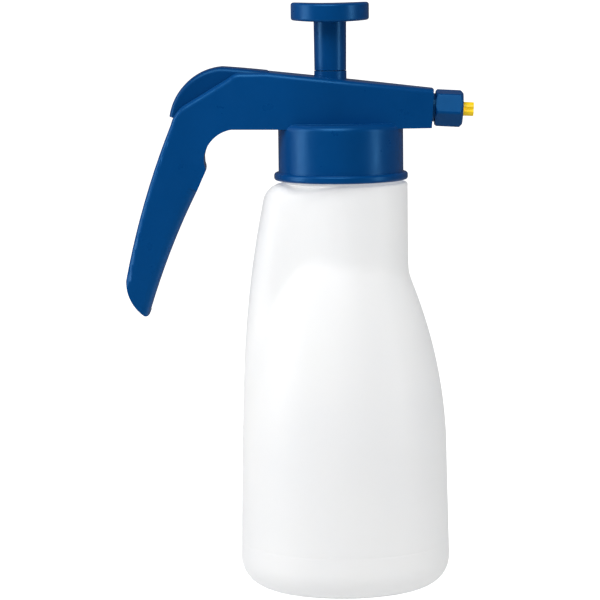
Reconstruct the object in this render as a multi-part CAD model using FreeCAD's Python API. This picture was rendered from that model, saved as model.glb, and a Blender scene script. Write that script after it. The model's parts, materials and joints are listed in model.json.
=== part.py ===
"""Hand-pumped compression sprayer: one solid per piece, in millimetres.

The origin is the neck's axis at the plane the bottle stands on, +X towards the nozzle, +Z up.
The pump is shown pushed down, the valve shut, and the head and the nozzle nut screwed home.
"""

import FreeCAD
import Part
import math
import os

V = FreeCAD.Vector
X_AXIS = V(1, 0, 0)
Y_AXIS = V(0, 1, 0)
Z_AXIS = V(0, 0, 1)

# Bottle: a round body that leans into a teardrop column under the neck.
WALL = 1.8
BODY_X = 0.6
BODY_R_LOW = 58.6
BODY_R_TOP = 57.1
BODY_STRAIGHT_Z = 72.0
BODY_SHOULDER_R = 263.0
BASE_FILLET = 15.5
PUSH_UP_R = 38.0
PUSH_UP_H = 5.0
FLOOR = 2.2
COLUMN_X = 3.7
COLUMN_R = 33.0
COLUMN_NOSE_R = 20.0
COLUMN_BACK = 55.2
COLUMN_BACK_Z = 98.0
COLUMN_BACK_R = 580.0
COLUMN_BACK_SLOPE = 0.15
COLUMN_BLEND = 2.5
SHOULDER_Z = 225.9
SHOULDER_FILLET_FRONT = 1.2
SHOULDER_FILLET_BACK = 9.0

# Neck and its screw thread.
NECK_R = 30.6
NECK_BORE = 28.0
NECK_TOP = 250.2
THREAD_LEAD = 6.0
THREAD_DEPTH = 1.5
THREAD_BASE = 1.3
THREAD_CREST = 0.6
THREAD_START = 234.4
THREAD_TURNS = 1.5
HEAD_THREAD_DROP = 2.0
GASKET_TOP = 252.4

# Cap skirt, part of the head.
CAP_R = 34.65
CAP_BORE = 32.6
CAP_TOP = 258.9
CAP_CEILING = 255.2
CAP_TOP_FILLET = 3.5
FLANGE_R = 37.1
FLANGE_LOW = 227.4
FLANGE_TOP = 231.7
FLANGE_FILLET = 1.5
SNAP_BEAD_R = 31.9
CEILING_OPENING_R = 28.5

# Head body and handle.
HEAD_WALL = 2.5
HEAD_FLOOR_Z = 258.4
HEAD_BOTTOM_Z = 255.9
HEAD_END_WALL_X = 43.4
ROOF_FRONT = (51.3, 277.25)
ROOF_REAR = (-39.4, 287.5)
CHEEK_TOP = (-55.0, 287.5)
HANDLE_HALF_WIDTH = 13.0
GRIP_FILLET = 5.0
TOP_FILLET = 2.8
HOOK_CENTRE = (-60.2, 240.9)
HOOK_R = 15.4
HOOK_CORNER = 0.665
WEB = 2.5
GRIP_LOW = (-106.7, 155.8)
GRIP_MIDDLE = (-95.1, 188.4)
GRIP_HIGH = (-79.7, 222.4)
RIB_DEPTH = 8.0
RIBS = ((-94.5, 213.4), (-102.4, 194.4), (-108.6, 177.4))

# Pump.
PUMP_X = -5.4
BOSS_R = 8.95
BOSS_TOP = 287.6
BUSH_R = 7.2
BUSH_LOW = 264.9
ROD_R = 5.0
RUNNING = 0.05
CYLINDER_R = 13.5
CYLINDER_BORE = 12.0
CYLINDER_LOW = 122.9
CYLINDER_FLOOR = 3.0
PISTON_LOW = 129.9
PISTON_TOP = 143.9
KNOB_R = 21.6
KNOB_END_LOW = 315.55
KNOB_END_TOP = 325.45
KNOB_DISH = 0.8
SHANK_LOW = 287.9
SHANK_R_LOW = 8.8
SHANK_R_TOP = 9.05

# Dip tube, beside the pump.
RISER_X = -23.5
TUBE_R = 3.0
TUBE_BORE = 2.0
TUBE_LOW = 12.0
FILTER_R = 4.2

# Hoses in the head.
HOSE_R = 3.2
HOSE_BORE = 2.2
FEED_Z = 264.4

# Thumb lever and trigger valve.
PIVOT = (-43.0, 281.9)
TRUNNION_R = 2.5
LEVER_GAP = 0.3
VALVE_X = -54.0
VALVE_R = 6.2
VALVE_TOP = 274.9
SEAT_Z = 267.9
STEM_R = 1.8
STEM_TOP = 279.85
OUTLET_Z = 270.4
OUTLET_ANGLE = 35.0

# Relief valve on the closure plate.
RELIEF_X = 18.5
RELIEF_R = 5.5
RELIEF_BORE = 4.2
RELIEF_TOP = 265.9

# Nozzle, along an axis that dips forward.
NOZZLE_DIP = 3.2
NOZZLE_FACE = V(50.7, 0, 266.75)
NUT_START = 1.6
NUT_END = 16.9
NUT_FLATS = 18.7
TIP_R = 4.0
TIP_END = 22.9
NOZZLE_LEAD = 2.0
NOZZLE_THREAD_START = 2.6


def point(x, z):
    return V(x, 0, z)


def path_edges(start, steps):
    """Edges in the XZ plane: a 2-tuple step is a line's end, a 4-tuple an arc's middle and end."""
    edges = []
    here = start
    for step in steps:
        end = step[-2:]
        if len(step) == 2:
            edges.append(Part.makeLine(point(*here), point(*end)))
        else:
            edges.append(Part.Arc(point(*here), point(*step[:2]), point(*end)).toShape())
        here = end
    return edges


def side_prism(start, steps, half_width=30.0):
    """A closed XZ outline, extruded the same distance to both sides of the middle plane."""
    wire = Part.Wire(path_edges(start, list(steps) + [start]))
    face = Part.Face(wire)
    face.translate(V(0, -half_width, 0))
    return face.extrude(V(0, 2 * half_width, 0))


def turned(profile, x=0.0):
    """A solid of revolution about a vertical axis at x, from (radius, z) points and arcs."""
    wire = Part.Wire(path_edges(profile[0], list(profile[1:]) + [profile[0]]))
    solid = Part.Face(wire).revolve(V(0, 0, 0), Z_AXIS, 360)
    solid.translate(V(x, 0, 0))
    return solid


def upright(radius, low, high, x=0.0, y=0.0):
    return Part.makeCylinder(radius, high - low, V(x, y, low))


def tube(outer, inner, low, high, x=0.0):
    return upright(outer, low, high, x).cut(upright(inner, low, high, x))


def rod_between(a, b, radius):
    return Part.makeCylinder(radius, (b - a).Length, a, b - a)


def helical_ridge(root_r, crest_r, base, crest, lead, turns, low, sink=0.4):
    """A screw ridge about Z. base and crest are half-widths; the ridge roots sink deep in its wall."""
    depth = abs(crest_r - root_r)
    inward = -1.0 if crest_r > root_r else 1.0
    foot_r = root_r + inward * sink
    foot = base + (base - crest) * sink / depth
    helix = Part.makeHelix(lead, lead * turns, root_r)
    corners = [V(foot_r, 0, -foot), V(crest_r, 0, -crest), V(crest_r, 0, crest), V(foot_r, 0, foot)]
    profile = Part.makePolygon(corners + corners[:1])
    ridge = Part.Wire(helix).makePipeShell([profile], True, True)
    ridge.translate(V(0, 0, low))
    return ridge


def coil_spring(radius, wire_r, low, high, turns, x=0.0):
    height = high - low - 2 * wire_r
    helix = Part.makeHelix(height / turns, height, radius)
    circle = Part.Circle(V(radius, 0, 0), Y_AXIS, wire_r).toShape()
    spring = Part.Wire(helix).makePipeShell([Part.Wire(circle)], True, True)
    spring.translate(V(x, 0, low + wire_r))
    return spring


def smooth_step(t):
    t = min(max(t, 0.0), 1.0)
    return t * t * (3 - 2 * t)


# ---------------------------------------------------------------- bottle

def body_radius(z):
    """Radius of the round body at height z."""
    if z <= BODY_STRAIGHT_Z:
        share = z / BODY_STRAIGHT_Z
        return BODY_R_LOW + (BODY_R_TOP - BODY_R_LOW) * share
    rise = min(z - BODY_STRAIGHT_Z, BODY_SHOULDER_R * 0.64)
    return BODY_R_TOP - (BODY_SHOULDER_R - math.sqrt(BODY_SHOULDER_R ** 2 - rise ** 2))


def column_back(z):
    """How far behind the neck's axis the column reaches at height z."""
    if z <= COLUMN_BACK_Z:
        return COLUMN_BACK - (COLUMN_BACK_Z - z) * COLUMN_BACK_SLOPE
    rise = z - COLUMN_BACK_Z
    return COLUMN_BACK - (COLUMN_BACK_R - math.sqrt(COLUMN_BACK_R ** 2 - rise ** 2))


def ray_to_circle(angle, centre_x, radius):
    """Distance from the origin along a ray to a circle centred on the X axis."""
    along = centre_x * math.cos(angle)
    across = centre_x * math.sin(angle)
    if abs(across) > radius:
        return 0.0
    return along + math.sqrt(radius ** 2 - across ** 2)


def column_radius(angle, z):
    """Polar radius of the teardrop column about the body's axis: two circles and their tangents."""
    main_x = COLUMN_X - BODY_X
    nose_x = COLUMN_NOSE_R - column_back(z) - BODY_X
    reach = max(ray_to_circle(angle, main_x, COLUMN_R), ray_to_circle(angle, nose_x, COLUMN_NOSE_R))
    lean = math.asin((COLUMN_R - COLUMN_NOSE_R) / (main_x - nose_x))
    nx, ny = -math.sin(lean), math.cos(lean)
    facing = nx * math.cos(angle) + ny * abs(math.sin(angle))
    if facing > 0:
        t = (COLUMN_R + nx * main_x) / facing
        x = t * math.cos(angle)
        if nose_x + COLUMN_NOSE_R * nx <= x <= main_x + COLUMN_R * nx:
            reach = max(reach, t)
    return reach


def blended_radius(angle, z):
    column = column_radius(angle, z)
    body = body_radius(z)
    return (column + body + math.hypot(column - body, COLUMN_BLEND)) / 2


def shoulder_fillet(angle):
    """Rounding of the shoulder's edge: tight in front, generous at the back."""
    turn = abs(math.degrees(math.atan2(math.sin(angle), math.cos(angle))))
    growth = SHOULDER_FILLET_BACK - SHOULDER_FILLET_FRONT
    return SHOULDER_FILLET_FRONT + growth * smooth_step((turn - 100.0) / 50.0)


def bottle_section(z, drop, inset):
    """One closed curve round the bottle. drop and inset are functions of the angle."""
    count = 72
    points = []
    for i in range(count):
        angle = 2 * math.pi * i / count
        height = z - drop(angle)
        r = blended_radius(angle, height) - inset(angle)
        points.append(V(BODY_X + r * math.cos(angle), r * math.sin(angle), height))
    curve = Part.BSplineCurve()
    curve.interpolate(Points=points, PeriodicFlag=True, Parameters=list(range(count + 1)))
    return Part.Wire(curve.toShape())


def bottle_form(shrink, low, high):
    """The bottle's outline, moved in by shrink, between two heights."""
    base = BASE_FILLET - shrink
    sections = []
    for step in range(7):
        turn = math.radians(15 * step)
        edge = base * (1 - math.sin(turn))
        sections.append(bottle_section(low + base * (1 - math.cos(turn)),
                                       lambda a: 0.0, lambda a, e=edge: shrink + e))
    last = SHOULDER_Z - SHOULDER_FILLET_BACK - 2.0
    first = low + base
    levels = 17
    for i in range(1, levels + 1):
        z = first + (last - first) * i / levels
        sections.append(bottle_section(z, lambda a: 0.0, lambda a: shrink))
    for step in range(6):
        turn = math.radians(18 * step)

        def drop(a, turn=turn):
            return shoulder_fillet(a) * (1 - math.sin(turn))

        def inset(a, turn=turn):
            return shrink + shoulder_fillet(a) * (1 - math.cos(turn))

        sections.append(bottle_section(high, drop, inset))
    return Part.makeLoft(sections, True, False, False)


def push_up(extra):
    """The ball that presses the dish into the base, grown by extra."""
    radius = (PUSH_UP_R ** 2 + PUSH_UP_H ** 2) / (2 * PUSH_UP_H)
    return Part.makeSphere(radius + extra, V(BODY_X, 0, PUSH_UP_H - radius))


def bottle():
    outer = bottle_form(0.0, 0.0, SHOULDER_Z)
    inner = bottle_form(WALL, FLOOR, SHOULDER_Z - WALL)
    inner = inner.cut(push_up(FLOOR))
    neck = upright(NECK_R, SHOULDER_Z - 6, NECK_TOP)
    shell = outer.fuse(neck).cut(push_up(0.0))
    shell = shell.cut(inner).cut(upright(NECK_BORE, SHOULDER_Z - 12, NECK_TOP))
    thread = helical_ridge(NECK_R, NECK_R + THREAD_DEPTH, THREAD_BASE, THREAD_CREST,
                           THREAD_LEAD, THREAD_TURNS, THREAD_START)
    return shell.fuse(thread)


def neck_gasket():
    return tube(NECK_R, NECK_BORE, NECK_TOP, GASKET_TOP)


# ---------------------------------------------------------------- head

def plan_prism(inset, low=140.0, high=300.0):
    """The head's outline seen from above, moved in by inset and extruded upwards."""
    half = [(-125.0, HANDLE_HALF_WIDTH), (-78.0, HANDLE_HALF_WIDTH), (-58.0, 14.2),
            (-34.0, 17.2), (-8.0, 18.6), (18.0, 17.2), (38.0, 14.2), (58.0, 10.8)]
    upper = Part.BSplineCurve()
    upper.interpolate([V(x, y - inset, low) for x, y in half[1:]],
                      InitialTangent=V(1, 0, 0), FinalTangent=V(1, -0.2, 0))
    lower = Part.BSplineCurve()
    lower.interpolate([V(x, inset - y, low) for x, y in reversed(half[1:])],
                      InitialTangent=V(-1, -0.2, 0), FinalTangent=V(-1, 0, 0))
    x0, y0 = half[0][0], half[0][1] - inset
    x1, y1 = half[1][0], half[1][1] - inset
    x2, y2 = half[-1][0], half[-1][1] - inset
    wire = Part.Wire([Part.makeLine(V(x0, y0, low), V(x1, y1, low)), upper.toShape(),
                      Part.makeLine(V(x2, y2, low), V(x2, -y2, low)), lower.toShape(),
                      Part.makeLine(V(x1, -y1, low), V(x0, -y0, low)),
                      Part.makeLine(V(x0, -y0, low), V(x0, y0, low))])
    return Part.Face(wire).extrude(V(0, 0, high - low))


def head_outline():
    """Spout, roof, cheek, handle, finger hook and underside, as one closed side outline."""
    hook_x, hook_z = HOOK_CENTRE
    k = HOOK_R * HOOK_CORNER
    hook_mid = (hook_x - k, hook_z + k)
    return ROOF_FRONT, [
        ROOF_REAR,
        CHEEK_TOP,
        (-58.2, 286.8, -61.0, 284.9),
        (-84.0, 271.1),
        (-90.2, 266.2, -93.6, 259.2),
        (-108.1, 218.9, -119.6, 173.5),
        (-117.3, 162.5, -110.4, 154.0),
        (-108.2, 153.3) + GRIP_LOW,
        GRIP_MIDDLE + GRIP_HIGH,
        (-75.7, 231.3),
        (-74.8, 234.2, -75.4, 237.2),
        (hook_x - HOOK_R, hook_z),
        hook_mid + (hook_x, hook_z + HOOK_R),
        (50.0, HEAD_BOTTOM_Z),
    ]


def edges_where(solid, test):
    return [e for e in solid.Edges if test(e)]


def head_block():
    """The solid outer form of spout, cheeks and handle, with its rounded edges."""
    start, steps = head_outline()
    block = side_prism(start, steps).common(plan_prism(0.0))

    def on_roof(edge):
        mid = edge.valueAt((edge.FirstParameter + edge.LastParameter) / 2)
        along = abs(edge.BoundBox.YLength) < 12
        back = mid.x < -85 and mid.z > 152.9 and mid.x < -92 - (259.9 - mid.z) * 0.27
        top = mid.z > 264.9 and mid.x < 50
        return along and abs(mid.y) > 8 and (back or top)

    block = block.makeFillet(TOP_FILLET, edges_where(block, on_roof))
    return block.cut(grip_rounding())


def grip_rounding():
    """What rounds the finger side of the handle: a corner strip turned about the grip's own arc."""
    arc = Part.Arc(point(*GRIP_LOW), point(*GRIP_MIDDLE), point(*GRIP_HIGH)).toShape().Curve
    centre, radius, f = arc.Center, arc.Radius, GRIP_FILLET
    start = math.atan2(GRIP_HIGH[1] - centre.z, GRIP_HIGH[0] - centre.x)
    strips = []
    for side in (1, -1):
        edge_y = side * HANDLE_HALF_WIDTH
        inner_y = edge_y - side * f
        near, far = radius - 1.0, radius + f
        k = f * (1 - math.sqrt(0.5))
        outer_y = edge_y + side
        section = [Part.makeLine(V(far, outer_y, 0), V(near, outer_y, 0)),
                   Part.makeLine(V(near, outer_y, 0), V(near, inner_y, 0)),
                   Part.makeLine(V(near, inner_y, 0), V(radius, inner_y, 0)),
                   Part.Arc(V(radius, inner_y, 0), V(radius + k, edge_y - side * k, 0),
                            V(far, edge_y, 0)).toShape(),
                   Part.makeLine(V(far, edge_y, 0), V(far, outer_y, 0))]
        face = Part.Face(Part.Wire(section))
        strip = face.revolve(V(0, 0, 0), Y_AXIS, -26.0)
        strip.rotate(V(0, 0, 0), Y_AXIS, -math.degrees(start))
        strip.translate(centre)
        strips.append(strip)
    return strips[0].fuse(strips[1])


def cap_skirt():
    r, z = CAP_R, CAP_TOP
    f, k = CAP_TOP_FILLET, CAP_TOP_FILLET * (1 - math.sqrt(0.5))
    e, m = FLANGE_FILLET, FLANGE_FILLET * (1 - math.sqrt(0.5))
    outline = [(0, FLANGE_LOW), (FLANGE_R - e, FLANGE_LOW),
               (FLANGE_R - m, FLANGE_LOW + m, FLANGE_R, FLANGE_LOW + e),
               (FLANGE_R, FLANGE_TOP - e),
               (FLANGE_R - m, FLANGE_TOP - m, FLANGE_R - e, FLANGE_TOP),
               (r, FLANGE_TOP), (r, z - f), (r - k, z - k, r - f, z), (0, z)]
    return turned(outline)


def slot_and_channel():
    """The open trough for lever and valve, running down the palm side of the handle."""
    hook_x, hook_z = HOOK_CENTRE
    inner = HOOK_R + WEB
    k = inner * math.sqrt(0.5)
    outline = [(-39.4, HEAD_FLOOR_Z), (hook_x, HEAD_FLOOR_Z),
               (hook_x - k, hook_z + k, hook_x - inner, hook_z),
               (-81.6, 225.4), (-97.6, 191.3, -106.6, 165.9), (-130.0, 165.9), (-130.0, 300.0)]
    return side_prism((-39.4, 300.0), outline)


def front_chamber():
    """The hollow under the roof, from the lever's slot to the spout's end wall."""
    slope = (ROOF_FRONT[1] - ROOF_REAR[1]) / (ROOF_FRONT[0] - ROOF_REAR[0])
    rear = ROOF_REAR[1] - HEAD_WALL
    front = rear + slope * (HEAD_END_WALL_X - ROOF_REAR[0])
    return side_prism((-45.0, HEAD_FLOOR_Z), [(HEAD_END_WALL_X, HEAD_FLOOR_Z),
                                              (HEAD_END_WALL_X, front), (-45.0, rear + 0.5)])


def channel_ribs():
    """Cross ribs in the handle's channel, standing on its web."""
    half = HANDLE_HALF_WIDTH - HEAD_WALL + 0.2
    ribs = []
    for x, z in RIBS:
        rib = Part.makeBox(RIB_DEPTH, 2 * half, 2.0, V(0, -half, 0))
        rib.rotate(V(0, 0, 0), Y_AXIS, 20)
        rib.translate(V(x, 0, z))
        ribs.append(rib)
    return ribs[0].fuse(ribs[1:])


def head_body():
    inner_plan = plan_prism(HEAD_WALL)
    head = head_block().fuse(cap_skirt())
    head = head.cut(upright(CAP_BORE, FLANGE_LOW - 1, CAP_CEILING))
    hollow = slot_and_channel().fuse(front_chamber()).common(inner_plan)
    opening = upright(CEILING_OPENING_R, CAP_CEILING - 1, HEAD_FLOOR_Z + 1)
    opening = opening.common(plan_prism(HEAD_WALL + 0.5))
    head = head.cut(hollow).cut(opening)
    collar = upright(BOSS_R, CAP_CEILING, BOSS_TOP, PUMP_X)
    head = head.fuse([collar, channel_ribs(), tube(CAP_BORE + 0.5, SNAP_BEAD_R, 251.7, 252.3)])
    head = head.cut(upright(BUSH_R, BUSH_LOW, BOSS_TOP + 1, PUMP_X))
    head = head.cut(upright(ROD_R + 1.0, CAP_CEILING - 1, BUSH_LOW, PUMP_X))
    head = head.cut(nozzle_placed(along(5.0, -12.0, 1.0)))
    sockets = Part.makeCylinder(TRUNNION_R + RUNNING, 31.4, V(PIVOT[0], -15.7, PIVOT[1]), Y_AXIS)
    head = head.cut(sockets)
    thread = helical_ridge(CAP_BORE, CAP_BORE - THREAD_DEPTH, THREAD_BASE, THREAD_CREST,
                           THREAD_LEAD, 1.25, THREAD_START - HEAD_THREAD_DROP)
    return head.fuse(thread)


# ---------------------------------------------------------------- pump

def pump_cylinder():
    """Pump barrel with the closure plate, the riser elbow and the relief valve's seat on it."""
    plate = upright(CAP_BORE - 0.2, GASKET_TOP, CAP_CEILING)
    barrel = upright(CYLINDER_R, CYLINDER_LOW, GASKET_TOP, PUMP_X)
    socket = upright(TUBE_R + 1.2, 242.9, GASKET_TOP, RISER_X)
    riser = upright(3.6, CAP_CEILING, FEED_Z + 3.6, RISER_X)
    barb = rod_between(V(RISER_X, 0, FEED_Z), V(RISER_X - 11.0, 0, FEED_Z), HOSE_BORE)
    seat = upright(RELIEF_R, CAP_CEILING, RELIEF_TOP, RELIEF_X)
    body = plate.fuse([barrel, socket, riser, barb, seat])
    body = body.cut(upright(CYLINDER_BORE, CYLINDER_LOW + CYLINDER_FLOOR, CAP_CEILING, PUMP_X))
    body = body.cut(upright(TUBE_R, 241.9, 251.9, RISER_X))
    body = body.cut(upright(1.3, 250.9, FEED_Z, RISER_X))
    body = body.cut(rod_between(V(RISER_X + 1.3, 0, FEED_Z), V(RISER_X - 12, 0, FEED_Z), 1.3))
    body = body.cut(upright(RELIEF_BORE, CAP_CEILING, RELIEF_TOP, RELIEF_X))
    body = body.cut(upright(2.0, 250.9, CAP_CEILING, RELIEF_X))
    vents = [upright(1.0, CYLINDER_LOW - 1, CYLINDER_LOW + CYLINDER_FLOOR + 1,
                     PUMP_X + 5.0 * math.cos(math.radians(a)), 5.0 * math.sin(math.radians(a)))
             for a in range(0, 360, 60)]
    body = body.cut(vents)
    return body.cut(upright(1.5 + RUNNING, CYLINDER_LOW - 1, CYLINDER_LOW + 4, PUMP_X))


def check_valve():
    """Rubber umbrella under the barrel's floor, held by the bulb on its stem."""
    floor = CYLINDER_LOW
    top = CYLINDER_LOW + CYLINDER_FLOOR
    outline = [(0, floor - 3.0), (5.0, floor - 2.4, 8.0, floor - 0.9), (8.0, floor), (1.5, floor),
               (1.5, top + 1.1), (2.4, top + 1.6), (1.0, top + 3.2), (0, top + 3.2)]
    return turned(outline, PUMP_X)


def rod_bush():
    return tube(BUSH_R, ROD_R + RUNNING, BUSH_LOW, BOSS_TOP - 0.4, PUMP_X)


def pump_rod():
    return upright(ROD_R, PISTON_LOW + 6, SHANK_LOW + 15, PUMP_X)


def piston():
    outline = [(0, PISTON_LOW), (10.4, PISTON_LOW), (11.4, PISTON_LOW + 1), (11.4, PISTON_LOW + 4),
               (9.4, PISTON_LOW + 4), (9.4, PISTON_LOW + 8.5), (11.4, PISTON_LOW + 8.5),
               (11.4, PISTON_TOP - 1), (10.4, PISTON_TOP), (0, PISTON_TOP)]
    return turned(outline, PUMP_X).cut(upright(ROD_R, PISTON_LOW + 6, PISTON_TOP, PUMP_X))


def piston_seal():
    low = PISTON_LOW + 4.0
    outline = [(9.4, low), (11.6, low), (CYLINDER_BORE - RUNNING, low + 0.6),
               (CYLINDER_BORE - RUNNING, low + 2.2), (11.2, low + 4.5), (9.4, low + 4.5)]
    return turned(outline, PUMP_X)


def pump_knob():
    """Round pull knob, dished along X, on its tapered shank."""
    r = KNOB_R
    top, low = KNOB_END_TOP, KNOB_END_LOW
    band = side_prism((-r - 1, low), [(0, low - KNOB_DISH, r + 1, low), (r + 1, top),
                                      (0, top - KNOB_DISH, -r - 1, top)])
    disc = band.common(upright(r, low - 5, top + 5))
    disc = disc.makeFillet(1.5, edges_where(disc, lambda e: e.BoundBox.ZLength < 3))
    cone = Part.makeCone(SHANK_R_LOW, SHANK_R_TOP, low - SHANK_LOW, V(0, 0, SHANK_LOW))
    knob = disc.fuse(cone).cut(upright(ROD_R, SHANK_LOW - 1, SHANK_LOW + 15))
    knob.translate(V(PUMP_X, 0, 0))
    return knob


def dip_tube():
    return tube(TUBE_R, TUBE_BORE, TUBE_LOW, 251.9, RISER_X)


def suction_filter():
    """Slotted strainer on the dip tube's lower end."""
    low, high = 9.0, 22.0
    body = upright(FILTER_R, low, high, RISER_X)
    body = body.cut(upright(TUBE_R, TUBE_LOW, high, RISER_X))
    body = body.cut(upright(TUBE_BORE, low + 1.2, TUBE_LOW + 0.5, RISER_X))
    slots = []
    for i in range(3):
        slot = Part.makeBox(10, 0.8, 1.6, V(-5, -0.4, low + 1.3))
        slot.rotate(V(0, 0, 0), Z_AXIS, 60 * i)
        slot.translate(V(RISER_X, 0, 0))
        slots.append(slot)
    return body.cut(slots)


# ---------------------------------------------------------------- lever and valve

def thumb_lever():
    """Inverted-U lever on two stub trunnions, with a round-nosed boss over the valve stem."""
    px, pz = PIVOT
    outer = ((-40.0, 288.0), [(-53.5, 289.5, -65.0, 290.5), (-84.2, 282.5, -94.3, 263.7),
                              (-90.6, 262.3), (-86.0, 266.5), (-48.0, pz - 4.6),
                              (px, pz - 5.0, -40.0, pz - 3.6)])
    lever = side_prism(*outer).common(plan_prism(HEAD_WALL + LEVER_GAP))

    def along_top(edge):
        mid = edge.valueAt((edge.FirstParameter + edge.LastParameter) / 2)
        return edge.BoundBox.XLength > 15 and edge.BoundBox.YLength < 5 and mid.z > 274.9

    lever = lever.makeFillet(2.6, edges_where(lever, along_top))
    inner = ((-39.0, pz - 8.0), [(-39.0, 285.2), (-52.0, 286.8, -65.0, 287.7),
                                 (-81.9, 280.1, -91.0, 263.3), (-91.0, 252.9)])
    hollow = side_prism(*inner).common(plan_prism(HEAD_WALL + LEVER_GAP + 2.0))
    lever = lever.cut(hollow)
    pin = Part.makeCylinder(TRUNNION_R, 30.8, V(px, -15.4, pz), Y_AXIS)
    hub = Part.makeCylinder(4.2, 26.0, V(px, -13.0, pz), Y_AXIS)
    nose = Part.makeCylinder(3.0, 8.0, V(VALVE_X, -4.0, 282.9), Y_AXIS)
    boss = Part.makeBox(6.0, 8.0, 5.4, V(VALVE_X - 3.0, -4.0, 282.9))
    rib = Part.makeBox(11.0, 3.0, 5.0, V(VALVE_X, -1.5, 282.5))
    return lever.fuse([pin, hub, nose, boss, rib])


def outlet_direction():
    a = math.radians(OUTLET_ANGLE)
    return V(math.cos(a), math.sin(a), 0)


def valve_body():
    axis_low = V(VALVE_X, 0, 0)
    body = upright(VALVE_R, HEAD_FLOOR_Z, VALVE_TOP, VALVE_X)
    inlet = V(VALVE_X + 14.0, 0, FEED_Z)
    outlet = axis_low + V(0, 0, OUTLET_Z) + outlet_direction() * 14.0
    body = body.fuse([rod_between(V(VALVE_X, 0, FEED_Z), inlet, HOSE_BORE),
                      rod_between(axis_low + V(0, 0, OUTLET_Z), outlet, HOSE_BORE)])
    body = body.cut([upright(5.0, HEAD_FLOOR_Z, SEAT_Z, VALVE_X),
                     upright(2.6, SEAT_Z, 269.1, VALVE_X), upright(3.6, 269.1, 271.7, VALVE_X),
                     upright(STEM_R + RUNNING, 271.7, 272.9, VALVE_X),
                     upright(3.6, 272.9, VALVE_TOP, VALVE_X),
                     rod_between(V(VALVE_X + 4.0, 0, FEED_Z), inlet + X_AXIS, 1.3),
                     rod_between(axis_low + V(0, 0, OUTLET_Z) + outlet_direction() * 3.0,
                                 outlet + outlet_direction(), 1.0)])
    return body


def valve_plug():
    return upright(5.0, HEAD_FLOOR_Z, HEAD_FLOOR_Z + 2.0, VALVE_X)


def valve_stem():
    outline = [(0, 265.1), (4.2, 265.1), (4.2, 266.3), (STEM_R, 266.3), (STEM_R, STEM_TOP - 0.5),
               (STEM_R - 0.5, STEM_TOP), (0, STEM_TOP)]
    return turned(outline, VALVE_X)


def valve_washer():
    return tube(4.2, STEM_R, 266.3, SEAT_Z, VALVE_X)


def valve_spring():
    return coil_spring(3.4, 0.4, HEAD_FLOOR_Z + 2.0, 265.1, 3.5, VALVE_X)


def stem_oring():
    ring = Part.makeTorus(2.7, 0.83)
    ring.translate(V(VALVE_X, 0, 273.75))
    return ring


def valve_gland():
    return tube(3.6, STEM_R + RUNNING, 274.6, 275.9, VALVE_X)


def hose_along(points):
    """A flexible tube through the given points, straight over its first and last lengths."""
    curve = Part.BSplineCurve()
    curve.interpolate(points[1:-1], InitialTangent=points[1] - points[0],
                      FinalTangent=points[-1] - points[-2])
    spine = Part.Wire([Part.makeLine(points[0], points[1]), curve.toShape(),
                       Part.makeLine(points[-2], points[-1])])
    outer, bore = [spine.makePipe(Part.Face(Part.Wire(
        Part.Circle(points[0], points[1] - points[0], r).toShape()))) for r in (HOSE_R, HOSE_BORE)]
    return outer.cut(bore)


def feed_hose():
    return rod_between(V(RISER_X - 4.5, 0, FEED_Z), V(VALVE_X + 7.5, 0, FEED_Z), HOSE_R).cut(
        rod_between(V(RISER_X - 4.5, 0, FEED_Z), V(VALVE_X + 7.5, 0, FEED_Z), HOSE_BORE))


def delivery_hose():
    """From the valve's outlet, round the pump's collar, to the nozzle stem."""
    start = V(VALVE_X, 0, OUTLET_Z) + outlet_direction() * 8.0
    leave = V(VALVE_X, 0, OUTLET_Z) + outlet_direction() * 14.2
    end = nozzle_point(-9.5)
    arrive = nozzle_point(-17.2)
    return hose_along([start, leave, V(-27.0, 11.8, 270.5), V(PUMP_X, 12.3, 270.8),
                       V(14.0, 10.4, 270.7), V(26.5, 3.6, 270.1), arrive, end])


# ---------------------------------------------------------------- relief valve

def relief_poppet():
    outline = [(0, CAP_CEILING), (3.6, CAP_CEILING), (3.6, CAP_CEILING + 1.6),
               (1.2, CAP_CEILING + 1.6), (1.2, RELIEF_TOP + 0.4), (0, RELIEF_TOP + 0.4)]
    return turned(outline, RELIEF_X)


def relief_spring():
    return coil_spring(2.6, 0.4, CAP_CEILING + 1.6, RELIEF_TOP - 1.8, 5, RELIEF_X)


def relief_cap():
    cap = tube(RELIEF_BORE, 1.2 + RUNNING, RELIEF_TOP - 1.8, RELIEF_TOP, RELIEF_X)
    return cap.cut([upright(0.5, RELIEF_TOP - 3, RELIEF_TOP + 1, RELIEF_X + dx) for dx in (-3, 3)])


# ---------------------------------------------------------------- nozzle

def nozzle_placed(shape):
    """Move a shape built along +X from the spout's face onto the nozzle's axis."""
    moved = shape.copy()
    moved.rotate(V(0, 0, 0), Y_AXIS, NOZZLE_DIP)
    moved.translate(NOZZLE_FACE)
    return moved


def nozzle_point(s):
    a = math.radians(NOZZLE_DIP)
    return NOZZLE_FACE + V(math.cos(a), 0, -math.sin(a)) * s


def along(radius, start, end):
    return Part.makeCylinder(radius, end - start, V(start, 0, 0), X_AXIS)


def x_ridge(*dimensions):
    """A screw ridge about the X axis."""
    ridge = helical_ridge(*dimensions, sink=0.3)
    ridge.rotate(V(0, 0, 0), Y_AXIS, 90)
    return ridge


def nozzle_stem():
    stem = along(7.85, 0.0, 1.4).fuse([along(5.0, -9.0, 0.0), along(HOSE_BORE, -17.0, -9.0),
                                       along(6.0, 1.4, 10.4), along(4.5, 10.4, 14.2)])
    stem = stem.fuse(x_ridge(6.0, 6.8, 0.55, 0.2, NOZZLE_LEAD, 3.5, NOZZLE_THREAD_START))
    stem = stem.cut([along(1.4, -17.0, 9.6), along(2.5, 9.6, 14.2)])
    return nozzle_placed(stem)


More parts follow.
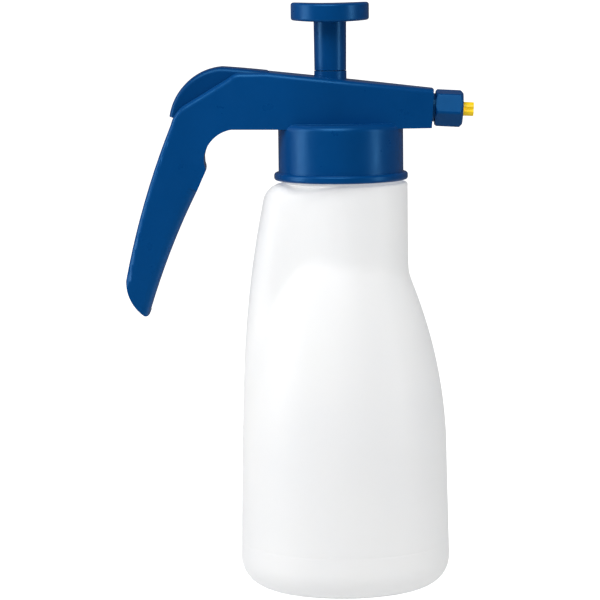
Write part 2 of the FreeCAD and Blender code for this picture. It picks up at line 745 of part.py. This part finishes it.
def swirl_core():
    core = along(2.5, 9.6, 14.2)
    slots = []
    for i in range(3):
        slot = Part.makeBox(6.0, 0.7, 1.0, V(9.0, -0.35, 1.7))
        slot.rotate(V(0, 0, 0), X_AXIS, 120 * i)
        slots.append(slot)
    return nozzle_placed(core.cut(slots))


def nozzle_oring():
    ring = along(5.86, 10.8, 12.0).cut(along(4.5 + RUNNING, 10.8, 12.0))
    return nozzle_placed(ring)


def nozzle_nut():
    """Hexagonal nut, chamfered behind and rounded in front, holding the tip by its flange."""
    corner = NUT_FLATS / math.sqrt(3)
    ring = [V(NUT_START, corner * math.cos(math.radians(60 * i + 12)),
              corner * math.sin(math.radians(60 * i + 12))) for i in range(6)]
    nut = Part.Face(Part.makePolygon(ring + ring[:1])).extrude(V(NUT_END - NUT_START, 0, 0))
    nut = nut.makeFillet(1.8, edges_where(nut, lambda e: e.BoundBox.XLength > 10))
    limit = Part.makeCone(9.4, 12.4, 3.0, V(NUT_START, 0, 0), X_AXIS)
    limit = limit.fuse([along(12.4, NUT_START + 3.0, NUT_END - 3.4)])
    nose = Part.makeCone(12.4, 8.6, 3.4, V(NUT_END - 3.4, 0, 0), X_AXIS)
    nut = nut.common(limit.fuse(nose))
    nut = nut.cut([along(7.2, NUT_START, 10.6), along(5.9, 10.5, 14.4), along(TIP_R, 14.3, NUT_END)])
    nut = nut.fuse(x_ridge(7.2, 6.35, 0.55, 0.2, NOZZLE_LEAD, 3.0, NOZZLE_THREAD_START + NOZZLE_LEAD / 2))
    return nozzle_placed(nut)


def nozzle_tip():
    """Tip with four lobes and a cone-shaped mouth."""
    tip = along(5.9, 12.1, 14.4).fuse(along(TIP_R, 14.4, TIP_END))
    grooves = []
    for i in range(4):
        a = math.radians(90 * i)
        at = V(17.4, (TIP_R + 0.5) * math.cos(a), (TIP_R + 0.5) * math.sin(a))
        grooves.append(Part.makeCylinder(1.5, 8.0, at, X_AXIS))
    tip = tip.cut(grooves)
    mouth = Part.makeCone(0.5, 2.6, 3.2, V(TIP_END - 3.0, 0, 0), X_AXIS)
    return nozzle_placed(tip.cut([along(4.6, 12.1, 14.3), along(0.6, 14.0, TIP_END), mouth]))


NODES = {
    "bottle": bottle,
    "neck_gasket": neck_gasket,
    "head_body": head_body,
    "pump_cylinder": pump_cylinder,
    "check_valve": check_valve,
    "rod_bush": rod_bush,
    "pump_rod": pump_rod,
    "piston": piston,
    "piston_seal": piston_seal,
    "pump_knob": pump_knob,
    "dip_tube": dip_tube,
    "suction_filter": suction_filter,
    "thumb_lever": thumb_lever,
    "valve_body": valve_body,
    "valve_plug": valve_plug,
    "valve_stem": valve_stem,
    "valve_washer": valve_washer,
    "valve_spring": valve_spring,
    "stem_oring": stem_oring,
    "valve_gland": valve_gland,
    "feed_hose": feed_hose,
    "delivery_hose": delivery_hose,
    "relief_poppet": relief_poppet,
    "relief_spring": relief_spring,
    "relief_cap": relief_cap,
    "nozzle_stem": nozzle_stem,
    "swirl_core": swirl_core,
    "nozzle_oring": nozzle_oring,
    "nozzle_nut": nozzle_nut,
    "nozzle_tip": nozzle_tip,
}


def main():
    os.makedirs("parts", exist_ok=True)
    for name, build in NODES.items():
        shape = build()
        if len(shape.Solids) != 1 or not shape.isValid():
            print(name, "solids:", len(shape.Solids), "valid:", shape.isValid())
        shape.exportStep(f"parts/{name}.step")


main()
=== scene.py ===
"""Looks of the hand-pumped compression sprayer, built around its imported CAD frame. Metres."""

import json
import math

import bpy
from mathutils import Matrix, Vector


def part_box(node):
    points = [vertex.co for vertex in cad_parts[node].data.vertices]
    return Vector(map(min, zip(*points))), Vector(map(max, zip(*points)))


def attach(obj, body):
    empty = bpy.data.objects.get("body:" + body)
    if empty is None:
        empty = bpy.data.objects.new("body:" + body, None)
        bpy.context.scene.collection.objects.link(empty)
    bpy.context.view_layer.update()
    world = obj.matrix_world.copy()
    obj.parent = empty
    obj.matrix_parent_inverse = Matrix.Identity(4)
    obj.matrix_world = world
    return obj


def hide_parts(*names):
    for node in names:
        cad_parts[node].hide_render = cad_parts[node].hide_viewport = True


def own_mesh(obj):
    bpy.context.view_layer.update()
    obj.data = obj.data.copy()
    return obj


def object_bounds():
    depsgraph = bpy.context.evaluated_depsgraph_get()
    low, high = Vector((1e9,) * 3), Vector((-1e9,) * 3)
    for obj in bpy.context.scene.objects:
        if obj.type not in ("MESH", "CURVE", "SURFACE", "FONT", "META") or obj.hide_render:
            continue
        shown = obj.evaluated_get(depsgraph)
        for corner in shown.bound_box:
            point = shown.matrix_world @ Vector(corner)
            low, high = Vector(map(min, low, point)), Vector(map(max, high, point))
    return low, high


MM = 0.001
CAMERA = Vector((-23.5, -1560.0, 348.9)) * MM
TARGET = Vector((-23.5, 0.0, 160.2)) * MM
ROLL = -0.62
SEEN_WIDTH = 334.6 * MM

# The bottle's form, in millimetres above the plane it stands on.
WALL = 1.8
BODY_X = 0.6
BODY_R_LOW = 58.6
BODY_R_TOP = 57.1
STRAIGHT_TOP = 72.0
DOME_R = 263.0
BASE_ROUND = 15.5
PUSH_UP_R = 38.0
PUSH_UP_H = 5.0
COLUMN_X = 3.7
COLUMN_R = 33.0
NOSE_R = 20.0
SPINE_X = 55.2
SPINE_Z = 98.0
SPINE_R = 580.0
SPINE_SLOPE = 0.15
CREASE = 1.3
LEVEL_TOP = 208.0
SHOULDER_Z = 225.9
ROUND_FRONT = 1.2
ROUND_BACK = 9.0
ROUND_FROM = 90.0
ROUND_OVER = 60.0
NECK_R = 30.6
NECK_BORE = 28.0
NECK_TOP = 250.2
THREAD_START = 234.4
THREAD_LEAD = 6.0
THREAD_TURNS = 1.5
THREAD_DEPTH = 1.5
THREAD_ROOT = 1.7
THREAD_CREST = 0.6
THREAD_SINK = 0.4
SEAM_HEIGHT = 0.22
SEAM_WIDTH = 0.4
RING_Z = 25.0
RING_DEPTH = 0.08
RING_WIDTH = 0.35

# Springs, in millimetres.
SPRING_WIRE = 0.4
SPRING_END_COIL = 0.12

# Soft boxes: name, azimuth right of the camera's side and elevation in degrees, then distance,
# width and height in metres, then watts.
SOFT_BOXES = (
    ("front_top", -15, 52, 1.3, 1.0, 0.8, 11.5),
    ("key", -78, 10, 1.1, 0.45, 1.3, 7.0),
    ("fill", 66, 5, 1.5, 0.3, 1.2, 5.6),
)
WORLD_LIGHT = 0.10
BLUE_TINT = (0.12, 0.52, 1.0)

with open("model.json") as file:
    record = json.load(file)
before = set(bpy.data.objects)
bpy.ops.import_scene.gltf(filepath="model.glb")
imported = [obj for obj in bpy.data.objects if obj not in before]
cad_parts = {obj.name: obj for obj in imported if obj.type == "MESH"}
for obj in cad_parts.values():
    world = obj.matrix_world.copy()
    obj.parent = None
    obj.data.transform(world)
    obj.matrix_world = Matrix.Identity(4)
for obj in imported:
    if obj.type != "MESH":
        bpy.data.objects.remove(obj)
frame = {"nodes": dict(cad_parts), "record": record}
cad_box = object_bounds()


# ---------------------------------------------------------------- materials

class Nodes:
    """A material's node tree, with short calls for adding and joining nodes."""

    def __init__(self, name):
        self.material = bpy.data.materials.new(name)
        self.material.use_nodes = True
        self.tree = self.material.node_tree
        self.shader = self.tree.nodes["Principled BSDF"]
        self.place = self.add("ShaderNodeTexCoord").outputs["Object"]

    def add(self, kind, **settings):
        node = self.tree.nodes.new(kind)
        for key, value in settings.items():
            setattr(node, key, value)
        return node

    def join(self, output, target):
        self.tree.links.new(output, target)

    def feed(self, target, value):
        """Sets a socket from a number, a colour or another node's output."""
        if isinstance(value, bpy.types.NodeSocket):
            self.join(value, target)
        elif isinstance(value, (tuple, list)) and len(value) == 3:
            target.default_value = (*value, 1.0) if target.type == "RGBA" else value
        else:
            target.default_value = value

    def noise(self, scale, detail=3.0, roughness=0.5, stretch=None):
        node = self.add("ShaderNodeTexNoise")
        node.inputs["Scale"].default_value = scale
        node.inputs["Detail"].default_value = detail
        node.inputs["Roughness"].default_value = roughness
        place = self.place
        if stretch:
            mapping = self.add("ShaderNodeMapping")
            mapping.inputs["Scale"].default_value = stretch
            self.join(self.place, mapping.inputs["Vector"])
            place = mapping.outputs["Vector"]
        self.join(place, node.inputs["Vector"])
        return node.outputs["Fac"]

    def levels(self, value, low, high, to_low=0.0, to_high=1.0):
        node = self.add("ShaderNodeMapRange")
        self.feed(node.inputs["Value"], value)
        self.feed(node.inputs["From Min"], low)
        self.feed(node.inputs["From Max"], high)
        self.feed(node.inputs["To Min"], to_low)
        self.feed(node.inputs["To Max"], to_high)
        return node.outputs["Result"]

    def math(self, operation, a, b):
        node = self.add("ShaderNodeMath", operation=operation)
        self.feed(node.inputs[0], a)
        self.feed(node.inputs[1], b)
        return node.outputs[0]

    def mix(self, share, a, b, blend="MIX"):
        node = self.add("ShaderNodeMix", data_type="RGBA", blend_type=blend)
        self.feed(node.inputs[0], share)
        self.feed(node.inputs[6], a)
        self.feed(node.inputs[7], b)
        return node.outputs[2]

    def bump(self, height, distance, strength=1.0, normal=None):
        node = self.add("ShaderNodeBump")
        self.feed(node.inputs["Height"], height)
        node.inputs["Distance"].default_value = distance
        node.inputs["Strength"].default_value = strength
        if normal is not None:
            self.join(normal, node.inputs["Normal"])
        return node.outputs["Normal"]

    def soft_edges(self, radius):
        """The normal with edges rounded over the given radius, and a mask of those edges."""
        bevel = self.add("ShaderNodeBevel", samples=6)
        bevel.inputs["Radius"].default_value = radius
        geometry = self.add("ShaderNodeNewGeometry")
        dot = self.add("ShaderNodeVectorMath", operation="DOT_PRODUCT")
        self.join(bevel.outputs["Normal"], dot.inputs[0])
        self.join(geometry.outputs["Normal"], dot.inputs[1])
        edge = self.levels(dot.outputs["Value"], 0.995, 0.75)
        return bevel.outputs["Normal"], edge

    def set(self, **inputs):
        for name, value in inputs.items():
            self.feed(self.shader.inputs[name.replace("_", " ")], value)
        return self.material


def moulded_plastic(name, colour, light, roughness, edge_radius=0.35 * MM, grain=0.02 * MM,
                    sheen=0.45, tint=(1.0, 1.0, 1.0), glow=0.0):
    """Satin injection-moulded plastic: eroded grain, faint flow marks, scuffs and paler edges, with an
    optional painted glow in its own colour.
    """
    n = Nodes(name)
    rounded, edge = n.soft_edges(edge_radius)
    flow = n.noise(28.0, 2.0, 0.4, stretch=(1.0, 1.0, 0.35))
    grain_height = n.noise(2600.0, 2.0, 0.6)
    scuffs = n.levels(n.noise(700.0, 3.0, 0.6, stretch=(1.0, 0.25, 1.0)), 0.60, 0.85)
    shade = n.mix(n.levels(flow, 0.35, 0.7), colour, light)
    wear = n.math("MULTIPLY", edge, n.levels(n.noise(180.0), 0.35, 0.75, 0.1, 0.55))
    pale = tuple(min(1.0, c * 1.6 + 0.004) for c in colour)
    shade = n.mix(wear, shade, pale)
    uneven = n.levels(n.noise(90.0, 4.0, 0.6), 0.3, 0.7, roughness - 0.05, roughness + 0.06)
    rough = n.math("ADD", uneven, n.math("MULTIPLY", scuffs, 0.05))
    normal = n.bump(grain_height, grain, 0.6, rounded)
    normal = n.bump(flow, 0.25 * MM, 0.25, normal)
    # Emission in the plastic's own colour, set by glow, is a painted glow.
    return n.set(Base_Color=shade, Roughness=rough, Normal=normal, Specular_IOR_Level=sheen,
                 Specular_Tint=tint, Emission_Color=colour, Emission_Strength=glow)


def tank_plastic():
    """Natural blow-moulded polyethylene: milky, waxy, with faint vertical draw lines, and a faint
    painted glow that evens out its shading.
    """
    n = Nodes("tank_plastic")
    draw = n.noise(60.0, 3.0, 0.5, stretch=(1.0, 1.0, 0.08))
    cloud = n.noise(14.0, 3.0, 0.5)
    pits = n.noise(1500.0, 2.0, 0.6)
    colour = n.mix(n.levels(cloud, 0.3, 0.7), (0.66, 0.665, 0.675), (0.70, 0.70, 0.695))
    rough = n.levels(n.noise(35.0, 4.0, 0.6), 0.3, 0.7, 0.36, 0.46)
    normal = n.bump(pits, 0.02 * MM, 0.5)
    normal = n.bump(draw, 0.12 * MM, 0.25, normal)
    # The white emission is a painted glow, standing in for light scattered through the wall.
    return n.set(Base_Color=colour, Roughness=rough, Normal=normal, Subsurface_Weight=0.7,
                 Subsurface_Radius=(1.0, 0.95, 0.9), Subsurface_Scale=3.0 * MM,
                 Emission_Color=(0.97, 0.985, 1.0), Emission_Strength=0.33, Specular_IOR_Level=0.25)


def rubber():
    n = Nodes("black_rubber")
    colour = n.mix(n.levels(n.noise(120.0), 0.3, 0.7), (0.012, 0.012, 0.013), (0.03, 0.03, 0.032))
    normal = n.bump(n.noise(1800.0, 3.0, 0.6), 0.03 * MM, 0.5)
    return n.set(Base_Color=colour, Roughness=n.levels(n.noise(300.0), 0.3, 0.7, 0.5, 0.7),
                 Normal=normal)


def hose_plastic():
    n = Nodes("hose_plastic")
    haze = n.levels(n.noise(160.0, 3.0, 0.5), 0.3, 0.7, 0.18, 0.34)
    colour = n.mix(n.levels(n.noise(40.0), 0.3, 0.7), (0.72, 0.78, 0.76), (0.82, 0.86, 0.84))
    return n.set(Base_Color=colour, Roughness=haze, Transmission_Weight=0.45,
                 Normal=n.bump(n.noise(700.0, 2.0, 0.5), 0.02 * MM, 0.4))


def spring_steel():
    n = Nodes("spring_steel")
    drawn = n.noise(900.0, 3.0, 0.6, stretch=(1.0, 1.0, 0.2))
    colour = n.mix(n.levels(drawn, 0.3, 0.7), (0.42, 0.42, 0.43), (0.62, 0.62, 0.63))
    return n.set(Base_Color=colour, Metallic=1.0, Roughness=n.levels(drawn, 0.3, 0.7, 0.22, 0.38),
                 Normal=n.bump(drawn, 0.01 * MM, 0.4))


MATERIALS = {
    "tank_plastic": tank_plastic(),
    "blue_plastic": moulded_plastic("blue_plastic", (0.0, 0.052, 0.205), (0.0005, 0.060, 0.235),
                                    0.31, sheen=0.6, tint=BLUE_TINT),
    # The lever's blue, darker than the head's: painted shade for the lever's recess between the cheeks.
    "lever_painted_shade_plastic": moulded_plastic("lever_painted_shade_plastic", (0.0, 0.040, 0.165), (0.0004, 0.046, 0.185),
                                     0.33, sheen=0.5, tint=BLUE_TINT),
    # The yellow glows faintly in its own colour: a painted glow that lifts it brighter than the lamps
    # light it.
    "yellow_plastic": moulded_plastic("yellow_plastic", (0.98, 0.64, 0.005), (1.0, 0.70, 0.01),
                                      0.36, glow=0.22),
    "natural_plastic": moulded_plastic("natural_plastic", (0.62, 0.62, 0.58), (0.72, 0.72, 0.69), 0.42),
    "grey_plastic": moulded_plastic("grey_plastic", (0.33, 0.34, 0.36), (0.40, 0.41, 0.43), 0.30),
    "black_rubber": rubber(),
    "hose_plastic": hose_plastic(),
    "spring_steel": spring_steel(),
}


# The lever takes a darker blue than the head's: painted shade for its recess between the cheeks.
LOOKS = {"thumb_lever": "lever_painted_shade_plastic"}


def paint_nodes():
    for part in frame["record"]["subparts"]:
        look = LOOKS.get(part["node"], part["material_slot"])
        for place in frame["nodes"][part["node"]].material_slots:
            place.material = MATERIALS[look]


paint_nodes()


# ---------------------------------------------------------------- bottle

def body_radius(z):
    """Radius of the round body at height z: straight to its shoulder, then a long dome."""
    if z <= STRAIGHT_TOP:
        return BODY_R_LOW + (BODY_R_TOP - BODY_R_LOW) * z / STRAIGHT_TOP
    rise = min(z - STRAIGHT_TOP, DOME_R * 0.64)
    return BODY_R_TOP - (DOME_R - math.sqrt(DOME_R ** 2 - rise ** 2))


def column_back(z):
    if z <= SPINE_Z:
        return SPINE_X - (SPINE_Z - z) * SPINE_SLOPE
    return SPINE_X - (SPINE_R - math.sqrt(SPINE_R ** 2 - (z - SPINE_Z) ** 2))


def ray_to_circle(angle, centre_x, radius):
    across = centre_x * math.sin(angle)
    if abs(across) > radius:
        return 0.0
    return centre_x * math.cos(angle) + math.sqrt(radius ** 2 - across ** 2)


def column_radius(angle, z):
    """Reach of the teardrop column from the body's axis: two circles and their tangents."""
    main_x, nose_x = COLUMN_X - BODY_X, NOSE_R - column_back(z) - BODY_X
    reach = max(ray_to_circle(angle, main_x, COLUMN_R), ray_to_circle(angle, nose_x, NOSE_R))
    lean = math.asin((COLUMN_R - NOSE_R) / (main_x - nose_x))
    nx, ny = -math.sin(lean), math.cos(lean)
    facing = nx * math.cos(angle) + ny * abs(math.sin(angle))
    if facing > 0:
        side = (COLUMN_R + nx * main_x) / facing
        if nose_x + NOSE_R * nx <= side * math.cos(angle) <= main_x + COLUMN_R * nx:
            reach = max(reach, side)
    return reach


def wall_radius(angle, z):
    """The bottle's wall, with its mould parting line and the ring where the base insert met it."""
    column, body = column_radius(angle, z), body_radius(z)
    r = (column + body + math.hypot(column - body, CREASE)) / 2
    across = r * math.sin(angle)
    r += SEAM_HEIGHT * math.exp(-(across / SEAM_WIDTH) ** 2)
    return r - RING_DEPTH * math.exp(-((z - RING_Z) / RING_WIDTH) ** 2)


def shoulder_rounding(angle):
    """Tight in front, generous at the back."""
    turn = abs(math.degrees(math.atan2(math.sin(angle), math.cos(angle))))
    t = min(max((turn - ROUND_FROM) / ROUND_OVER, 0.0), 1.0)
    return ROUND_FRONT + (ROUND_BACK - ROUND_FRONT) * t * t * (3 - 2 * t)


def bottle_angles():
    """Even steps round the bottle, with finer ones at the parting line in front and behind."""
    even = [2 * math.pi * i / 144 for i in range(144)]
    fine = [(side + offset / BODY_R_TOP) % (2 * math.pi) for side in (0.0, math.pi)
            for offset in (-0.9, -0.6, -0.4, -0.2, 0.2, 0.4, 0.6, 0.9)]
    return sorted(even + fine)


def bottle_column(angle):
    """Points (radius, z) up the wall at one angle, from the middle of the base to the neck's top."""
    foot = BODY_R_LOW - BASE_ROUND
    points = [(PUSH_UP_R * i / 8, PUSH_UP_H * (1 - (i / 8) ** 2)) for i in range(1, 9)]
    points += [(PUSH_UP_R + (foot - PUSH_UP_R) * i / 3, 0.0) for i in range(1, 3)]
    for step in range(11):
        turn = math.radians(9 * step)
        z = BASE_ROUND * (1 - math.cos(turn))
        points.append((wall_radius(angle, z) - BASE_ROUND * (1 - math.sin(turn)), z))
    levels = [BASE_ROUND + i * (LEVEL_TOP - BASE_ROUND) / 96 for i in range(1, 97)]
    levels = sorted(levels + [RING_Z + offset for offset in (-0.6, -0.3, 0.0, 0.3, 0.6)])
    points += [(wall_radius(angle, z), z) for z in levels]
    rounding = shoulder_rounding(angle)
    last = SHOULDER_Z - rounding
    points += [(wall_radius(angle, z), z)
               for z in (LEVEL_TOP + (last - LEVEL_TOP) * i / 6 for i in range(1, 6))]
    for step in range(10):
        turn = math.radians(10 * step)
        z = last + rounding * math.sin(turn)
        points.append((wall_radius(angle, z) - rounding * (1 - math.cos(turn)), z))
    return points


def neck_column(angle):
    """The neck above the shoulder, which stands off the body's axis."""
    radii = [(NECK_R + 1.0, SHOULDER_Z), (NECK_R + 0.3, SHOULDER_Z + 0.3), (NECK_R, SHOULDER_Z + 1.0),
             (NECK_R, NECK_TOP - 0.4), (NECK_R - 0.4, NECK_TOP), (NECK_BORE + 0.2, NECK_TOP)]
    return [(ray_to_circle(angle, -BODY_X, radius), z) for radius, z in radii]


def thread_ridge():
    """The neck's screw thread as points and faces in millimetres, closed at both ends."""
    root_r, crest_r, steps = NECK_R - THREAD_SINK, NECK_R + THREAD_DEPTH, 108
    section = [(root_r, -THREAD_ROOT), (crest_r, -THREAD_CREST),
               (crest_r, THREAD_CREST), (root_r, THREAD_ROOT)]
    verts, faces = [], []
    for i in range(steps + 1):
        turns = THREAD_TURNS * i / steps
        angle, z = 2 * math.pi * turns, THREAD_START + THREAD_LEAD * turns
        verts += [(radius * math.cos(angle), radius * math.sin(angle), z + rise)
                  for radius, rise in section]
    for a in range(0, 4 * steps, 4):
        faces += [(a + k, a + (k + 1) % 4, a + 4 + (k + 1) % 4, a + 4 + k) for k in range(4)]
    last = 4 * steps
    faces += [(3, 2, 1, 0), (last, last + 1, last + 2, last + 3)]
    return verts, faces


def add_piece(name, verts, faces, smooth, slot, body):
    """A new visible piece, from points in metres, that rides on a body and takes a finish."""
    mesh = bpy.data.meshes.new(name)
    mesh.from_pydata(verts, [], faces)
    if smooth:
        mesh.shade_smooth()
    piece = bpy.data.objects.new(name, mesh)
    bpy.context.scene.collection.objects.link(piece)
    piece.data.materials.append(MATERIALS[slot])
    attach(piece, body)
    return piece


def above_base(verts):
    """Points in millimetres above the plane the bottle stands on, as metres in the frame."""
    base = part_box("bottle")[0][2]
    return [(x * MM, y * MM, base + z * MM) for x, y, z in verts]


def bottle_shell():
    """The blow-moulded bottle as one smooth wall, in place of its CAD solid."""
    angles = bottle_angles()
    columns = [bottle_column(a) + neck_column(a) for a in angles]
    verts = [(BODY_X, 0.0, PUSH_UP_H)]
    for angle, column in zip(angles, columns):
        verts += [(BODY_X + r * math.cos(angle), r * math.sin(angle), z) for r, z in column]
    count, rows = len(angles), len(columns[0])
    faces = []
    for i in range(count):
        a, b = 1 + i * rows, 1 + (i + 1) % count * rows
        faces.append((0, b, a))
        faces += [(a + k, b + k, b + k + 1, a + k + 1) for k in range(rows - 1)]
    shell = add_piece("bottle_shell", above_base(verts), faces, True, "tank_plastic", "tank")
    wall = shell.modifiers.new("wall", "SOLIDIFY")
    wall.thickness = WALL * MM
    wall.offset = -1.0
    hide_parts("bottle")


def neck_thread():
    verts, faces = thread_ridge()
    add_piece("neck_thread", above_base(verts), faces, False, "tank_plastic", "tank")


bottle_shell()
neck_thread()


# ---------------------------------------------------------------- springs

def coil(radius, wire, turns, middle_x, low, high):
    """Points and faces of a spring of round wire, its end coils closed down flat. Metres."""
    around, per_turn = 10, 40
    steps = int(turns * per_turn)
    rise = high - low - 2 * wire
    open_share = 1 - 2 * SPRING_END_COIL
    verts = []
    for i in range(steps + 1):
        along = i / steps
        turn = 2 * math.pi * turns * along
        climb = min(max((along - SPRING_END_COIL) / open_share, 0.0), 1.0)
        centre_z = low + wire + rise * climb
        for k in range(around):
            a = 2 * math.pi * k / around
            reach = radius + wire * math.cos(a)
            verts.append((middle_x + reach * math.cos(turn), reach * math.sin(turn),
                          centre_z + wire * math.sin(a)))
    faces = []
    for i in range(steps):
        a = i * around
        faces += [(a + k, a + (k + 1) % around, a + around + (k + 1) % around, a + around + k)
                  for k in range(around)]
    faces += [tuple(reversed(range(around))), tuple(range(steps * around, (steps + 1) * around))]
    return verts, faces


def spring(node, turns):
    """A coiled spring riding on the head, in place of its rigid CAD solid."""
    low, high = (Vector(corner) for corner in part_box(node))
    wire = SPRING_WIRE * MM
    radius = (high.x - low.x) / 2 - wire
    verts, faces = coil(radius, wire, turns, (low.x + high.x) / 2, low.z, high.z)
    piece = add_piece(node + "_coil", verts, faces, True, "spring_steel", "head")
    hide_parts(node)
    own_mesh(piece)


spring("valve_spring", 3.5)
spring("relief_spring", 5.0)


# ---------------------------------------------------------------- studio

def plain_material(name, colour, roughness, glow=0.0):
    n = Nodes(name)
    mottle = n.mix(n.levels(n.noise(3.0), 0.3, 0.7), colour, tuple(c * 0.985 for c in colour))
    seen = n.add("ShaderNodeLightPath").outputs["Is Camera Ray"]
    n.set(Base_Color=n.mix(seen, (0.6, 0.6, 0.6), mottle), Roughness=roughness,
          Specular_IOR_Level=0.0)
    n.feed(n.shader.inputs["Emission Color"], colour)
    n.feed(n.shader.inputs["Emission Strength"], n.levels(seen, 0.0, 1.0, 0.05, glow))
    return n.material


def backdrop():
    """A floor that curves up into a wall far behind the object."""
    half, front, bend_y, bend_r, top = 6.0, -4.0, 4.0, 1.5, 5.0
    profile = [(front, 0.0), (bend_y, 0.0)]
    for i in range(1, 13):
        turn = math.radians(90 * i / 12)
        profile.append((bend_y + bend_r * math.sin(turn), bend_r * (1 - math.cos(turn))))
    profile.append((bend_y + bend_r, top))
    verts = [(x, y, z) for y, z in profile for x in (-half, half)]
    faces = [(2 * i, 2 * i + 1, 2 * i + 3, 2 * i + 2) for i in range(len(profile) - 1)]
    mesh = bpy.data.meshes.new("backdrop")
    mesh.from_pydata(verts, [], faces)
    mesh.shade_smooth()
    floor = bpy.data.objects.new("backdrop", mesh)
    bpy.context.scene.collection.objects.link(floor)
    floor.data.materials.append(plain_material("backdrop_paper", (0.95, 0.95, 0.95), 0.8, 1.15))


def soft_box(name, around, azimuth, elevation, distance, width, height, power):
    """An area light seen from the object at an azimuth right of the camera's side."""
    a, e = math.radians(azimuth), math.radians(elevation)
    away = Vector((math.sin(a) * math.cos(e), -math.cos(a) * math.cos(e), math.sin(e)))
    data = bpy.data.lights.new(name, "AREA")
    data.shape = "RECTANGLE"
    data.size = width
    data.size_y = height
    data.energy = power
    light = bpy.data.objects.new(name, data)
    light.location = around + away * distance
    light.rotation_euler = (-away).to_track_quat("-Z", "Y").to_euler()
    bpy.context.scene.collection.objects.link(light)


def studio():
    low, high = (Vector(corner) for corner in cad_box)
    middle = (low + high) / 2
    for name, *placing in SOFT_BOXES:
        soft_box(name, middle, *placing)
    world = bpy.data.worlds.new("studio")
    bpy.context.scene.world = world
    world.use_nodes = True
    world.node_tree.nodes["Background"].inputs["Color"].default_value = (1, 1, 1, 1)
    world.node_tree.nodes["Background"].inputs["Strength"].default_value = WORLD_LIGHT


def camera():
    """Long lens, a little above the sprayer, looking slightly down, with a slight roll."""
    data = bpy.data.cameras.new("camera")
    data.sensor_width = 36.0
    data.lens = data.sensor_width * (CAMERA - TARGET).length / SEEN_WIDTH
    view = bpy.data.objects.new("camera", data)
    view.location = CAMERA
    view.rotation_euler = (TARGET - CAMERA).to_track_quat("-Z", "Y").to_euler()
    view.rotation_euler.rotate_axis("Z", math.radians(ROLL))
    bpy.context.scene.collection.objects.link(view)
    bpy.context.scene.camera = view


backdrop()
studio()
camera()
bpy.context.scene.view_settings.view_transform = "Standard"
